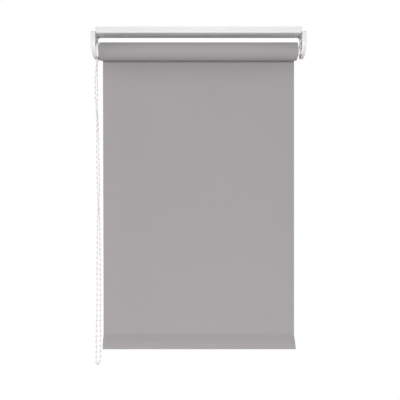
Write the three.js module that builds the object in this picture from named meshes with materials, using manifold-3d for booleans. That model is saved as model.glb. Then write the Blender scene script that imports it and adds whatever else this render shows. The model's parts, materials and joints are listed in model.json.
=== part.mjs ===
// Chain-operated roller blind on a ceiling rail, in millimetres.
// X runs along the rail, +Y points to the window, +Z is up.
// The origin is the centre of the rail's top face, which is screwed to the ceiling.
import * as THREE from 'three';
import { mergeVertices } from 'three/addons/utils/BufferGeometryUtils.js';
import Module from 'manifold-3d';

const wasm = await Module();
wasm.setup();

// ---- Driving dimensions ----
const OVERALL_WIDTH = 490;
const ROLLER_DROP = 52.3; // from the rail's top face down to the roller's axis
const SHEET_DROP = 665; // hanging cloth from the roller's axis to the hem
const GAP = 0.3; // between pieces that touch
const RUNNING_GAP = 0.4; // between pieces that turn or slide
const OVERCUT = 1; // how far a cutter runs past what it cuts, and a joined shape into its neighbour

const RAIL = { depth: 33, height: 14, wall: 1.6, groove: 0.7, grooveHeight: 1.4, lip: 7.2 };
const FIXING_HOLE = { radius: 2.2, fromEnd: 70 };

const COVER = { reach: 31.6, back: 14, thickness: 10, wall: 1.8, corner: 4, belowRail: 1.1, bottom: 16 };
const LEAST_CORNER = 0.5;
const PEG = { radius: 1.7, fromFront: 9.6, height: 13, fromBack: 5, belowTop: 10 };

const PLATE = { thickness: 2, headRoom: 3.2, slotLength: 16, slotHeight: 6, slotY: -9, slotAbove: 14.6 };
const TONGUE = { length: 36, sideGap: 2.4, thickness: 2 };
const CLAMP_SCREW = { radius: 2, socket: 1.1, socketDepth: 2.5, length: 8, fromPlate: 18, sunk: 0.3 };

const GUARD = { wall: 1.4, back: 1, edge: 0.6, beadRoom: 2.3, mouthGap: 1.5, mouthDepth: 5.3 };
const GUARD_PEG = { radius: 1.5, fromRim: 4.6, past: 1, angles: [Math.PI, Math.PI / 3] };

const BEAD = { diameter: 4.5, pitch: 12, cord: 1.4 };
const WHEEL = { pockets: 7, cheek: 0.45, rim: 1.9, sleeveGap: 0.8, sleeveLength: 5 };

const CORE = { radius: 4.5, length: 34, collarHeight: 1.9, collarWidth: 1 };
const CORE_SCREW = { radius: 1.9, head: 3.7, headHeight: 1.8, length: 12, slot: 1, tipRoom: 1 };
const WRAP_SPRING = { wire: 1.1, turns: 4, pitch: 1.5, count: 2 };

const TUBE = { radius: 14, wall: 1.2, keyWidth: 5, keyDepth: 1.5 };
const TUBE_PAST_CLOTH = 1.2; // at each end
const CLOTH = { thickness: 0.45, rollRadius: 20.15 };
const KEEPER = { height: 0.9 };

const PLUG = { length: 30, flange: 1.4, wall: 2, ribs: 5, ribWidth: 1.6 };
const IDLER_PLUG = { length: 32, flange: 2.4, endWall: 2 };
const PIN = { radius: 3, head: 4.6, headWidth: 2, tip: 5, tail: 13, taper: 1.5, tipRadius: 2 };
const PIN_SPRING = { wire: 0.9, turns: 5 };
const SEAT = { radius: 9.25, width: 5.7, spigot: 5, pastPlate: 1.8 };
const WASHER = { radius: 8, thickness: 0.8 };

const HEM = { height: 35.6, radius: 3.2, wall: 0.5, lean: 5.6, behindSheet: 1 };
const BAR = { wall: 0.8, clearance: 0.4 };
const BAR_CAP = { flange: 1.2, plug: 9 };

const STOP_BALL = 7;
const CONNECTOR = { radius: 2.9, length: 16, below: 145, chamfer: 0.8, chamferLength: 1 };
const CHAIN_STEP = 17;
const FINE = 1e-6; // of a run's length

// The chain from its stop ball down the front run, round the bottom bend and up the back run.
// x counts from the middle of the chain wheel, y and z from the roller's axis.
const FRONT_RUN = [
  [-2, -9.4, -23.6], [-3.1, -9.6, -35], [-5, -8.8, -52], [-6.3, -7.2, -72], [-6.7, -5.4, -92],
  [-6, -3.4, -116], [-3.9, -2.6, -142], [-1.2, -3.2, -170], [0.4, -4, -205], [0.6, -4.4, -240],
  [2.3, -5.6, -280], [3.1, -7.6, -320], [2.2, -9.6, -350], [0.4, -11, -378], [-0.2, -12.6, -410],
  [-0.1, -14.8, -450], [0.2, -16.8, -500], [0.2, -18, -570], [-0.7, -18.8, -640], [-1.1, -19, -700],
];
const BOTTOM_BEND = [
  [-1, -17.8, -721.2], [-0.3, -13.7, -726.2], [0.7, -6.6, -728.4], [1.8, 0.5, -726.2], [2.4, 4.6, -721.2],
];
const BACK_RUN = [
  [2.6, 5.8, -700], [2.4, 5.6, -640], [2.6, 5, -570], [2.5, 4, -500], [2, 2, -450],
  [2.2, -0.4, -410], [1.4, -2.2, -378], [-0.6, -3.6, -350], [-2.2, -5, -320], [-2.7, -6.6, -280],
  [-2.6, -8.2, -240], [-2.6, -8.2, -205], [-2.2, -8.6, -170], [-2.4, -8.8, -142], [-1.4, -8.2, -116],
  [-1.5, -6.4, -92], [-2.3, -4.4, -72], [-3, -3.6, -52], [-3.1, -3.2, -35], [-1.7, -2.8, -20.6],
];

// ---- Places that follow from them ----
const HALF = OVERALL_WIDTH / 2;
const AXIS_Z = -ROLLER_DROP;
const PLATE_OUT = HALF - COVER.wall - PLATE.headRoom;
const PLATE_IN = PLATE_OUT - PLATE.thickness;
const RAIL_HALF = PLATE_IN - GAP;
const COVER_IN = HALF - COVER.thickness;
const COVER_TOP = -RAIL.height - COVER.belowRail;
const PLATE_TOP = COVER_TOP - COVER.wall - GAP;
const TONGUE_WIDTH = RAIL.depth - 2 * (RAIL.wall + TONGUE.sideGap);
const ARC_Z = AXIS_Z + COVER.reach - COVER.bottom;
const TONGUE_Z = -RAIL.height + RAIL.wall + GAP;
const GUARD_OUT = PLATE_IN - GAP;
const WHEEL_OUT = GUARD_OUT - GUARD.back - RUNNING_GAP;
const WHEEL_IN = WHEEL_OUT - BEAD.diameter - 2 * WHEEL.cheek;
const WHEEL_MID = (WHEEL_OUT + WHEEL_IN) / 2;
const WHEEL_PITCH_RADIUS = BEAD.pitch / 2 / Math.sin(Math.PI / WHEEL.pockets);
const WHEEL_RADIUS = WHEEL_PITCH_RADIUS + WHEEL.rim;
const GUARD_IN = WHEEL_IN - GUARD.edge;
const GUARD_RADIUS = WHEEL_PITCH_RADIUS + BEAD.diameter / 2 + GUARD.beadRoom + GUARD.wall;
const TUBE_HALF = GUARD_IN - RUNNING_GAP - PLUG.flange - GAP;
const CLOTH_HALF = TUBE_HALF - TUBE_PAST_CLOTH;
const TUBE_INNER = TUBE.radius - TUBE.wall;
const PLUG_RADIUS = TUBE_INNER - TUBE.keyDepth - GAP;
const PLUG_BORE = PLUG_RADIUS - PLUG.wall;
const FLANGE_RADIUS = TUBE.radius - GAP;
const IDLER_OUT = TUBE_HALF + GAP + IDLER_PLUG.flange;
const CORE_IN = PLATE_IN - CORE.length;
const SHEET_Y = CLOTH.rollRadius + GAP;
const HEM_TOP = AXIS_Z - SHEET_DROP;
const SEAT_IN = PLATE_IN - GAP - SEAT.width;
const CORE_COLLAR = CORE.radius + CORE.collarHeight;
const SIDES = 40;
const SMALL_SIDES = 16;
const HEXAGON = 6;
const CHAIN_SIDES = 8;
const ROUND_END_STEPS = 8;
const COIL = { steps: 12, sides: 5 };
const BEAD_BALL = { round: 10, over: 8 };
const STOP_BALL_OVER = 10;

// ---- Shape helpers ----
const FROM_OUTLINE = new THREE.Matrix4().set(0, 0, 1, 0, 1, 0, 0, 0, 0, 1, 0, 0, 0, 0, 0, 1);
const FROM_LATHE = new THREE.Matrix4().set(0, 1, 0, 0, 0, 0, 1, 0, 1, 0, 0, 0, 0, 0, 0, 1);

function weld(geometry) {
  const bare = geometry.clone();
  bare.deleteAttribute('normal');
  bare.deleteAttribute('uv');
  return mergeVertices(bare, 1e-4);
}

// A closed geometry as a solid, whichever way its outline was drawn.
function solid(geometry) {
  const welded = weld(geometry);
  const at = welded.attributes.position;
  const index = welded.index.array;
  const [a, b, c] = [new THREE.Vector3(), new THREE.Vector3(), new THREE.Vector3()];
  const faces = [];
  let volume = 0;
  for (let i = 0; i < index.length; i += 3) {
    const [p, q, r] = [index[i], index[i + 1], index[i + 2]];
    if (p === q || q === r || r === p) continue;
    a.fromBufferAttribute(at, p);
    b.fromBufferAttribute(at, q);
    c.fromBufferAttribute(at, r);
    volume += a.dot(b.cross(c));
    faces.push([p, q, r]);
  }
  const triVerts = Uint32Array.from(faces.flatMap(([p, q, r]) => (volume > 0 ? [p, q, r] : [p, r, q])));
  const vertProperties = Float32Array.from(at.array);
  return new wasm.Manifold(new wasm.Mesh({ numProp: 3, vertProperties, triVerts }));
}

function geometryOf(body) {
  const mesh = body.getMesh();
  const geometry = new THREE.BufferGeometry();
  geometry.setAttribute('position', new THREE.BufferAttribute(mesh.vertProperties, 3));
  geometry.setIndex(new THREE.BufferAttribute(mesh.triVerts, 1));
  const flat = geometry.toNonIndexed();
  flat.computeVertexNormals();
  return flat;
}

function join(first, ...others) {
  return others.reduce((body, other) => body.add(other), first);
}

function cut(first, ...others) {
  return others.reduce((body, other) => body.subtract(other), first);
}

// An outline drawn in (y, z), run along X from one end to the other.
function prism(shape, fromX, toX, curveSegments = 12) {
  const depth = Math.abs(toX - fromX);
  const geometry = new THREE.ExtrudeGeometry(shape, { depth, bevelEnabled: false, curveSegments });
  geometry.applyMatrix4(FROM_OUTLINE);
  geometry.translate(Math.min(fromX, toX), 0, 0);
  return solid(geometry);
}

// A profile of [radius, x] points turned about the roller's axis, or another axis along X.
function turned(profile, sides = SIDES, y = 0, z = AXIS_Z) {
  const geometry = new THREE.LatheGeometry(profile.map(([r, x]) => new THREE.Vector2(r, x)), sides);
  geometry.applyMatrix4(FROM_LATHE);
  geometry.translate(0, y, z);
  return solid(geometry);
}

function disc(radius, fromX, toX, sides = SIDES, y = 0, z = AXIS_Z) {
  return turned([[0, fromX], [radius, fromX], [radius, toX], [0, toX]], sides, y, z);
}

function ring(outer, inner, fromX, toX, sides = SIDES, y = 0, z = AXIS_Z) {
  const profile = [[inner, fromX], [outer, fromX], [outer, toX], [inner, toX], [inner, fromX]];
  return turned(profile, sides, y, z);
}

function block(fromX, toX, fromY, toY, fromZ, toZ) {
  const geometry = new THREE.BoxGeometry(Math.abs(toX - fromX), toY - fromY, toZ - fromZ);
  geometry.translate((fromX + toX) / 2, (fromY + toY) / 2, (fromZ + toZ) / 2);
  return solid(geometry);
}

function upright(radius, x, y, fromZ, toZ, sides = SMALL_SIDES) {
  const geometry = new THREE.CylinderGeometry(radius, radius, toZ - fromZ, sides);
  geometry.rotateX(Math.PI / 2);
  geometry.translate(x, y, (fromZ + toZ) / 2);
  return solid(geometry);
}

// A section of a few sides swept along a curve.
function swept(curve, radius, steps, sides) {
  const corners = [];
  for (let i = 0; i < sides; i += 1) {
    const angle = (2 * Math.PI * i) / sides;
    corners.push(new THREE.Vector2(radius * Math.cos(angle), radius * Math.sin(angle)));
  }
  const shape = new THREE.Shape(corners);
  return solid(new THREE.ExtrudeGeometry(shape, { steps, extrudePath: curve, bevelEnabled: false }));
}

class Helix extends THREE.Curve {
  constructor(radius, fromX, pitch, turns) {
    super();
    Object.assign(this, { radius, fromX, pitch, turns });
  }

  getPoint(t, target = new THREE.Vector3()) {
    const angle = 2 * Math.PI * this.turns * t;
    const y = this.radius * Math.cos(angle);
    const z = AXIS_Z + this.radius * Math.sin(angle);
    return target.set(this.fromX + this.pitch * this.turns * t, y, z);
  }
}

function coil(radius, wire, fromX, pitch, turns) {
  return swept(new Helix(radius, fromX, pitch, turns), wire / 2, COIL.steps * turns, COIL.sides);
}

// A flat band with round ends, from a low point to a high point in (y, z).
function capsule(low, high, radius) {
  const along = Math.atan2(high.y - low.y, high.x - low.x);
  const shape = new THREE.Shape();
  shape.absarc(high.x, high.y, radius, along - Math.PI / 2, along + Math.PI / 2, false);
  shape.absarc(low.x, low.y, radius, along + Math.PI / 2, along + 1.5 * Math.PI, false);
  shape.closePath();
  return shape;
}

const group = new THREE.Group();

function add(name, body, color, roughness, metalness = 0) {
  const material = new THREE.MeshStandardMaterial({ color, roughness, metalness });
  const mesh = new THREE.Mesh(geometryOf(body), material);
  mesh.name = name;
  group.add(mesh);
}

const PAINT = 0xf1f1ef;
const PLASTIC = 0xf4f4f2;
const CLOTH_GREY = 0xa8a4a5;
const STEEL = 0xb9bbbd;
const ALUMINIUM = 0xc9cbcc;
const DARK_PLASTIC = 0x3a3b3d;

// ---- Rail ----
// A box section, open at both ends, with a fine groove along its front.
function railShape() {
  const half = RAIL.depth / 2;
  const inner = half - RAIL.wall;
  const grooveLow = -RAIL.height + RAIL.lip;
  const grooveTop = grooveLow + RAIL.grooveHeight;
  const corners = (list) => list.map(([y, z]) => new THREE.Vector2(y, z));
  const shape = new THREE.Shape(corners([
    [-half, -RAIL.height], [half, -RAIL.height], [half, 0], [-half, 0], [-half, grooveTop],
    [-half + RAIL.groove, grooveTop], [-half + RAIL.groove, grooveLow], [-half, grooveLow],
  ]));
  shape.holes.push(new THREE.Path(corners([
    [-inner, -RAIL.wall], [inner, -RAIL.wall], [inner, -RAIL.height + RAIL.wall],
    [-inner, -RAIL.height + RAIL.wall],
  ])));
  return shape;
}

const clampX = PLATE_IN - CLAMP_SCREW.fromPlate;

function rail() {
  const body = prism(railShape(), -RAIL_HALF, RAIL_HALF);
  const low = -RAIL.height - OVERCUT;
  const fixings = [-1, 1].map((side) => (
    upright(FIXING_HOLE.radius, side * (RAIL_HALF - FIXING_HOLE.fromEnd), 0, low, OVERCUT)));
  const clamps = [-1, 1].map((side) => (
    upright(CLAMP_SCREW.radius + GAP, side * clampX, 0, low, TONGUE_Z)));
  return cut(body, ...fixings, ...clamps);
}

add('mounting_rail', rail(), PAINT, 0.4);

// ---- Brackets and covers, one of each at each end ----
// The outline of a cover, or of what lies inside it by the inset.
function coverShape(inset, top) {
  const reach = COVER.reach - inset;
  const corner = Math.max(COVER.corner - inset, LEAST_CORNER);
  const shape = new THREE.Shape();
  shape.moveTo(-reach, ARC_Z);
  shape.absarc(0, ARC_Z, reach, Math.PI, 2 * Math.PI, false);
  shape.lineTo(reach, top - corner);
  shape.absarc(reach - corner, top - corner, corner, 0, Math.PI / 2, false);
  shape.lineTo(-reach + corner, top);
  shape.absarc(-reach + corner, top - corner, corner, Math.PI / 2, Math.PI, false);
  shape.closePath();
  return shape;
}

const pegPlaces = [
  [-COVER.reach + PEG.fromFront, AXIS_Z + PEG.height],
  [COVER.back - PEG.fromBack, PLATE_TOP - PEG.belowTop],
];

// What lies behind the straight back of a cover and of its plate.
function behind(side) {
  return block(side * (COVER_IN - OVERCUT), side * (HALF + OVERCUT), COVER.back, COVER.reach + OVERCUT,
    ARC_Z - COVER.reach, COVER_TOP + OVERCUT);
}

// A cap with a straight, open back. Its rim stops short of the roller's end and of the chain guard.
function cover(side) {
  const shell = prism(coverShape(0, COVER_TOP), side * COVER_IN, side * HALF);
  const inside = prism(coverShape(COVER.wall, COVER_TOP - COVER.wall), side * (COVER_IN - OVERCUT),
    side * (HALF - COVER.wall));
  const half = TONGUE_WIDTH / 2 + GAP;
  const neck = block(side * (COVER_IN - OVERCUT), side * (PLATE_OUT + GAP), -half, half,
    PLATE_TOP - OVERCUT, 0);
  const drumRoom = disc(GUARD_RADIUS + GAP, side * (COVER_IN - OVERCUT), side * PLATE_IN);
  const pegs = pegPlaces.map(([y, z]) => (
    disc(PEG.radius, side * (PLATE_IN + GAP), side * (HALF - COVER.wall / 2), SMALL_SIDES, y, z)));
  return join(cut(shell, inside, neck, drumRoom, behind(side)), ...pegs);
}

// A slot with round ends through a bracket plate, for a screw into the side of a window recess.
function sideSlot(side) {
  const radius = PLATE.slotHeight / 2;
  const reach = PLATE.slotLength / 2 - radius;
  const z = AXIS_Z + PLATE.slotAbove;
  const [front, back] = [PLATE.slotY - reach, PLATE.slotY + reach].map((y) => new THREE.Vector2(y, z));
  return prism(capsule(front, back, radius), side * (PLATE_IN - OVERCUT), side * (PLATE_OUT + OVERCUT),
    ROUND_END_STEPS);
}

// A plate with a neck up the end of the rail and a tongue that goes into it.
function bracket(side, axisHole, otherHoles) {
  const plate = prism(coverShape(COVER.wall + GAP, PLATE_TOP), side * PLATE_IN, side * PLATE_OUT);
  const half = TONGUE_WIDTH / 2;
  const top = TONGUE_Z + TONGUE.thickness;
  const neck = block(side * PLATE_IN, side * PLATE_OUT, -half, half, PLATE_TOP - OVERCUT, top);
  const tongue = block(side * (PLATE_OUT - TONGUE.length), side * PLATE_OUT, -half, half, TONGUE_Z, top);
  const screwHole = upright(CLAMP_SCREW.radius + GAP, side * clampX, 0, TONGUE_Z - OVERCUT, top + OVERCUT);
  const through = [...pegPlaces.map(([y, z]) => [PEG.radius, y, z]), [axisHole, 0, AXIS_Z], ...otherHoles];
  const holes = through.map(([radius, y, z]) => (
    disc(radius + GAP, side * (PLATE_IN - OVERCUT), side * (PLATE_OUT + OVERCUT), SMALL_SIDES, y, z)));
  return cut(join(cut(plate, behind(side)), neck, tongue), screwHole, sideSlot(side), ...holes);
}

// A headless screw with a hexagonal socket, sunk in the rail's underside.
function clampScrew(side) {
  const low = -RAIL.height + CLAMP_SCREW.sunk;
  const body = upright(CLAMP_SCREW.radius, side * clampX, 0, low, low + CLAMP_SCREW.length);
  const socketTop = low + CLAMP_SCREW.socketDepth;
  return cut(body, upright(CLAMP_SCREW.socket, side * clampX, 0, low - OVERCUT, socketTop, HEXAGON));
}

const guardPegOut = GUARD_RADIUS - GUARD_PEG.fromRim;
const guardPegPlaces = GUARD_PEG.angles.map((angle) => (
  [guardPegOut * Math.cos(angle), AXIS_Z + guardPegOut * Math.sin(angle)]));
const guardPegHoles = guardPegPlaces.map(([y, z]) => [GUARD_PEG.radius, y, z]);

add('left_bracket', bracket(-1, CORE.radius, guardPegHoles), PAINT, 0.45);
add('right_bracket', bracket(1, SEAT.spigot, []), PAINT, 0.45);
add('left_side_cover', cover(-1), PLASTIC, 0.35);
add('right_side_cover', cover(1), PLASTIC, 0.35);
add('left_clamp_screw', clampScrew(-1), STEEL, 0.4, 1);
add('right_clamp_screw', clampScrew(1), STEEL, 0.4, 1);

// ---- Chain drive, on the left ----
// A drum with its back to the bracket, open to the roller, with a mouth that gathers the two runs.
function chainGuard() {
  const drum = disc(GUARD_RADIUS, -GUARD_IN, -GUARD_OUT);
  const room = disc(GUARD_RADIUS - GUARD.wall, -GUARD_IN + OVERCUT, -GUARD_OUT + GUARD.back);
  const axle = disc(CORE.radius + GAP, -GUARD_IN + OVERCUT, -GUARD_OUT - OVERCUT, SMALL_SIDES);
  const clear = BEAD.diameter / 2 + GUARD.mouthGap;
  const mouth = block(-GUARD_IN + OVERCUT, -GUARD_OUT + GUARD.back, FRONT_RUN[0][1] - clear,
    BACK_RUN.at(-1)[1] + clear, AXIS_Z - GUARD_RADIUS - OVERCUT, AXIS_Z - GUARD_RADIUS + GUARD.mouthDepth);
  const pegs = guardPegPlaces.map(([y, z]) => (
    disc(GUARD_PEG.radius, -GUARD_OUT + GUARD.back / 2, -PLATE_OUT - GUARD_PEG.past, SMALL_SIDES, y, z)));
  return join(cut(drum, room, axle, mouth), ...pegs);
}

function clutchCore() {
  const post = disc(CORE.radius, -CORE_IN, -PLATE_OUT);
  const hole = disc(CORE_SCREW.radius + GAP, -PLATE_OUT - OVERCUT,
    -PLATE_OUT + CORE_SCREW.length + CORE_SCREW.tipRoom, SMALL_SIDES);
  const collar = ring(CORE_COLLAR, CORE.radius - OVERCUT, -CORE_IN, -CORE_IN - CORE.collarWidth);
  return join(cut(post, hole), collar);
}

function coreScrew() {
  const seat = -PLATE_OUT - GAP;
  const { radius, head: headRadius, headHeight, length, slot: slotWidth } = CORE_SCREW;
  const head = disc(headRadius, seat - headHeight, seat, SMALL_SIDES);
  const shank = disc(radius, seat - headHeight / 2, seat + length, SMALL_SIDES);
  const slot = block(seat - headHeight - OVERCUT, seat - headHeight / 2, -slotWidth / 2, slotWidth / 2,
    AXIS_Z - headRadius, AXIS_Z + headRadius);
  return cut(join(head, shank), slot);
}

// A wheel with a pocket for every bead, a groove for the cord between them and a short sleeve.
function chainWheel() {
  const bore = CORE.radius + RUNNING_GAP;
  const groove = WHEEL_PITCH_RADIUS - BEAD.cord;
  const flank = 2 * WHEEL.cheek;
  const sleeve = PLUG_BORE - WHEEL.sleeveGap;
  const sleeveEnd = -WHEEL_IN + WHEEL.sleeveLength;
  const body = turned([
    [bore, -WHEEL_OUT], [WHEEL_RADIUS, -WHEEL_OUT], [WHEEL_RADIUS, -WHEEL_OUT + flank],
    [groove, -WHEEL_MID - flank], [groove, -WHEEL_MID + flank], [WHEEL_RADIUS, -WHEEL_IN - flank],
    [WHEEL_RADIUS, -WHEEL_IN], [sleeve, -WHEEL_IN], [sleeve, sleeveEnd], [bore, sleeveEnd],
    [bore, -WHEEL_OUT],
  ]);
  const pockets = [];
  for (let i = 0; i < WHEEL.pockets; i += 1) {
    const angle = (2 * Math.PI * i) / WHEEL.pockets + Math.PI / 2;
    const y = WHEEL_PITCH_RADIUS * Math.cos(angle);
    const ball = new THREE.SphereGeometry(BEAD.diameter / 2 + GAP / 2, BEAD_BALL.round, BEAD_BALL.over);
    ball.translate(-WHEEL_MID, y, AXIS_Z + WHEEL_PITCH_RADIUS * Math.sin(angle));
    pockets.push(solid(ball));
  }
  return cut(body, ...pockets);
}

function wrapSpring(i) {
  const radius = CORE.radius + GAP + WRAP_SPRING.wire / 2;
  const length = WRAP_SPRING.pitch * WRAP_SPRING.turns + WRAP_SPRING.wire + GAP;
  const inner = -CORE_IN - CORE.collarWidth - GAP + WRAP_SPRING.wire / 2;
  const start = inner - (i + 1) * length;
  return coil(radius, WRAP_SPRING.wire, start, WRAP_SPRING.pitch, WRAP_SPRING.turns);
}

add('chain_guard', chainGuard(), PLASTIC, 0.35);
add('clutch_core', clutchCore(), DARK_PLASTIC, 0.5);
add('core_screw', coreScrew(), STEEL, 0.35, 1);
add('chain_wheel', chainWheel(), PLASTIC, 0.4);
for (let i = 0; i < WRAP_SPRING.count; i += 1) {
  add(`wrap_spring_${i + 1}`, wrapSpring(i), STEEL, 0.3, 1);
}

// ---- Roller ----
// An arc of points on a circle round the roller's axis, in (y, z).
function arcPoints(radius, from, to, steps) {
  const points = [];
  for (let i = 0; i <= steps; i += 1) {
    const angle = from + ((to - from) * i) / steps;
    points.push(new THREE.Vector2(radius * Math.cos(angle), AXIS_Z + radius * Math.sin(angle)));
  }
  return points;
}

// The tube's section has a key groove along its top for the cloth's keeper strip.
function tubeLoop(radius, halfKey, floor) {
  const open = Math.asin(halfKey / radius);
  const round = arcPoints(radius, Math.PI / 2 + open, Math.PI / 2 - open + 2 * Math.PI, SIDES);
  return [...round, new THREE.Vector2(halfKey, AXIS_Z + floor), new THREE.Vector2(-halfKey, AXIS_Z + floor)];
}

function rollerTube() {
  const floor = TUBE.radius - TUBE.keyDepth;
  const shape = new THREE.Shape(tubeLoop(TUBE.radius, TUBE.keyWidth / 2, floor));
  shape.holes.push(new THREE.Path(tubeLoop(TUBE_INNER, TUBE.keyWidth / 2 + TUBE.wall, floor - TUBE.wall)));
  return prism(shape, -TUBE_HALF, TUBE_HALF);
}

function keeperStrip() {
  const half = TUBE.keyWidth / 2 - GAP;
  const low = AXIS_Z + TUBE.radius - TUBE.keyDepth + GAP;
  return block(-CLOTH_HALF, CLOTH_HALF, -half, half, low, low + KEEPER.height);
}

// A hollow plug with a flange, in either end of the tube. Its ribs reach the tube's wall, clear of the key.
function plugBody(side, length, flange, bore) {
  const end = side * (TUBE_HALF + GAP);
  const shaft = ring(PLUG_RADIUS, bore, end, end - side * length);
  const lip = ring(FLANGE_RADIUS, bore, end, end + side * flange);
  const ribs = [];
  for (let i = 1; i <= PLUG.ribs; i += 1) {
    const height = TUBE_INNER - GAP - PLUG_RADIUS + PLUG.wall / 2;
    const rib = new THREE.BoxGeometry(length, PLUG.ribWidth, height);
    rib.translate(0, 0, TUBE_INNER - GAP - height / 2);
    rib.rotateX((2 * Math.PI * i) / (PLUG.ribs + 1));
    rib.translate(end - (side * length) / 2, 0, AXIS_Z);
    ribs.push(solid(rib));
  }
  return join(shaft, lip, ...ribs);
}

// The wheel's sleeve turns this plug; past the sleeve its bore narrows round the wrap springs.
function drivePlug() {
  const inner = -TUBE_HALF - GAP + PLUG.length;
  const sleeveRoom = -WHEEL_IN + WHEEL.sleeveLength + 2 * RUNNING_GAP;
  return join(plugBody(-1, PLUG.length, PLUG.flange, PLUG_BORE),
    ring(PLUG_BORE + PLUG.wall / 2, CORE_COLLAR + RUNNING_GAP, sleeveRoom, inner));
}

const ROOM_IN = TUBE_HALF + GAP - IDLER_PLUG.length + IDLER_PLUG.endWall;

function idlerPlug() {
  const body = plugBody(1, IDLER_PLUG.length, IDLER_PLUG.flange, PIN.radius + RUNNING_GAP);
  return cut(body, disc(PIN.head + RUNNING_GAP, IDLER_OUT - PIN.headWidth, ROOM_IN));
}

// A pin with a head that the spring in the plug pushes outwards.
const PIN_HEAD_OUT = IDLER_OUT - PIN.headWidth - RUNNING_GAP;

function idlerPin() {
  const tip = SEAT_IN + PIN.tip;
  const shaft = disc(PIN.radius, PIN_HEAD_OUT - PIN.headWidth - PIN.tail, tip - PIN.taper / 2, SMALL_SIDES);
  const point = turned([
    [0, tip - PIN.taper], [PIN.radius, tip - PIN.taper], [PIN.tipRadius, tip], [0, tip],
  ], SMALL_SIDES);
  return join(shaft, point, disc(PIN.head, PIN_HEAD_OUT - PIN.headWidth, PIN_HEAD_OUT, SMALL_SIDES));
}

function pinSpring() {
  const radius = PIN.radius + GAP + PIN_SPRING.wire / 2;
  const high = PIN_HEAD_OUT - PIN.headWidth - GAP - PIN_SPRING.wire / 2;
  const low = ROOM_IN + GAP + PIN_SPRING.wire / 2;
  return coil(radius, PIN_SPRING.wire, low, (high - low) / PIN_SPRING.turns, PIN_SPRING.turns);
}

add('roller_tube', rollerTube(), ALUMINIUM, 0.4, 1);
add('keeper_strip', keeperStrip(), PLASTIC, 0.5);
add('cloth_roll', ring(CLOTH.rollRadius, TUBE.radius + GAP, -CLOTH_HALF, CLOTH_HALF), CLOTH_GREY, 0.95);
add('drive_plug', drivePlug(), PLASTIC, 0.4);
add('idler_plug', idlerPlug(), PLASTIC, 0.4);
add('idler_pin', idlerPin(), STEEL, 0.3, 1);
add('idler_spring', pinSpring(), STEEL, 0.3, 1);

// ---- Idler seat, on the right ----
function idlerSeat() {
  const bore = PIN.radius + RUNNING_GAP;
  const hub = ring(SEAT.radius, bore, SEAT_IN, PLATE_IN - GAP);
  const spigot = ring(SEAT.spigot, bore, PLATE_IN - GAP - OVERCUT, PLATE_OUT + SEAT.pastPlate);
  return join(hub, spigot);
}

function seatWasher() {
  const from = PLATE_OUT + GAP;
  return ring(WASHER.radius, SEAT.spigot + GAP, from, from + WASHER.thickness);
}

add('idler_seat', idlerSeat(), PLASTIC, 0.35);
add('seat_washer', seatWasher(), STEEL, 0.35, 1);

// ---- Hanging cloth, hem and bottom bar ----
const hemBack = SHEET_Y + CLOTH.thickness + HEM.behindSheet;
const hemHigh = new THREE.Vector2(hemBack - HEM.radius, HEM_TOP - GAP - HEM.radius);
const hemLow = new THREE.Vector2(hemHigh.x - HEM.lean, HEM_TOP - HEM.height + HEM.radius);
const barRadius = HEM.radius - HEM.wall - BAR.clearance;

function hemPocket() {
  const shape = capsule(hemLow, hemHigh, HEM.radius);
  shape.holes.push(capsule(hemLow, hemHigh, HEM.radius - HEM.wall));
  return prism(shape, -CLOTH_HALF, CLOTH_HALF, ROUND_END_STEPS);
}

function bottomBar() {
  const shape = capsule(hemLow, hemHigh, barRadius);
  shape.holes.push(capsule(hemLow, hemHigh, barRadius - BAR.wall));
  return prism(shape, -CLOTH_HALF, CLOTH_HALF, ROUND_END_STEPS);
}

function barCap(side) {
  const end = side * (CLOTH_HALF + GAP);
  const flange = prism(capsule(hemLow, hemHigh, HEM.radius), end, end + side * BAR_CAP.flange,
    ROUND_END_STEPS);
  const plug = prism(capsule(hemLow, hemHigh, barRadius - BAR.wall - GAP), end + side * BAR_CAP.flange / 2,
    end - side * BAR_CAP.plug, ROUND_END_STEPS);
  return join(flange, plug);
}

const sheet = block(-CLOTH_HALF, CLOTH_HALF, SHEET_Y, SHEET_Y + CLOTH.thickness, HEM_TOP, AXIS_Z);
add('cloth_sheet', sheet, CLOTH_GREY, 0.95);
add('hem_pocket', hemPocket(), CLOTH_GREY, 0.95);
add('bottom_bar', bottomBar(), ALUMINIUM, 0.4, 1);
add('left_bar_cap', barCap(-1), PLASTIC, 0.4);
add('right_bar_cap', barCap(1), PLASTIC, 0.4);

// ---- Bead chain, its stop ball and its connector ----
const runPoint = ([x, y, z]) => new THREE.Vector3(x - WHEEL_MID, y, z + AXIS_Z);

function chainCurve(points) {
  return new THREE.CatmullRomCurve3(points, false, 'centripetal');
}

function chainTube(points) {
  const curve = chainCurve(points);
  const steps = Math.max(2, Math.round(curve.getLength() / CHAIN_STEP));
  return swept(curve, BEAD.diameter / 2, steps, CHAIN_SIDES);
}

// The two points of a run where its height passes a level, a gap above it and a gap below it.
function splitRun(points, high, low) {
  const curve = chainCurve(points);
  const at = (level) => {
    let [start, end] = [0, 1];
    while (end - start > FINE) {
      const middle = (start + end) / 2;
      if (curve.getPoint(middle).z > level) start = middle;
      else end = middle;
    }
    return curve.getPoint(start);
  };
  const [above, below] = [at(high), at(low)];
  return {
    upper: [...points.filter((p) => p.z > high + CHAIN_STEP / 2), above],
    lower: [below, ...points.filter((p) => p.z < low - CHAIN_STEP / 2)],
    above,
    below,
  };
}

const frontRun = FRONT_RUN.map(runPoint);
const stopCentre = frontRun[0];
const connectorTop = AXIS_Z - CONNECTOR.below + CONNECTOR.length / 2;
const stopCut = splitRun(frontRun, stopCentre.z, stopCentre.z - STOP_BALL / 2 - GAP);
const joinCut = splitRun(stopCut.lower, connectorTop, connectorTop - CONNECTOR.length);

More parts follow.
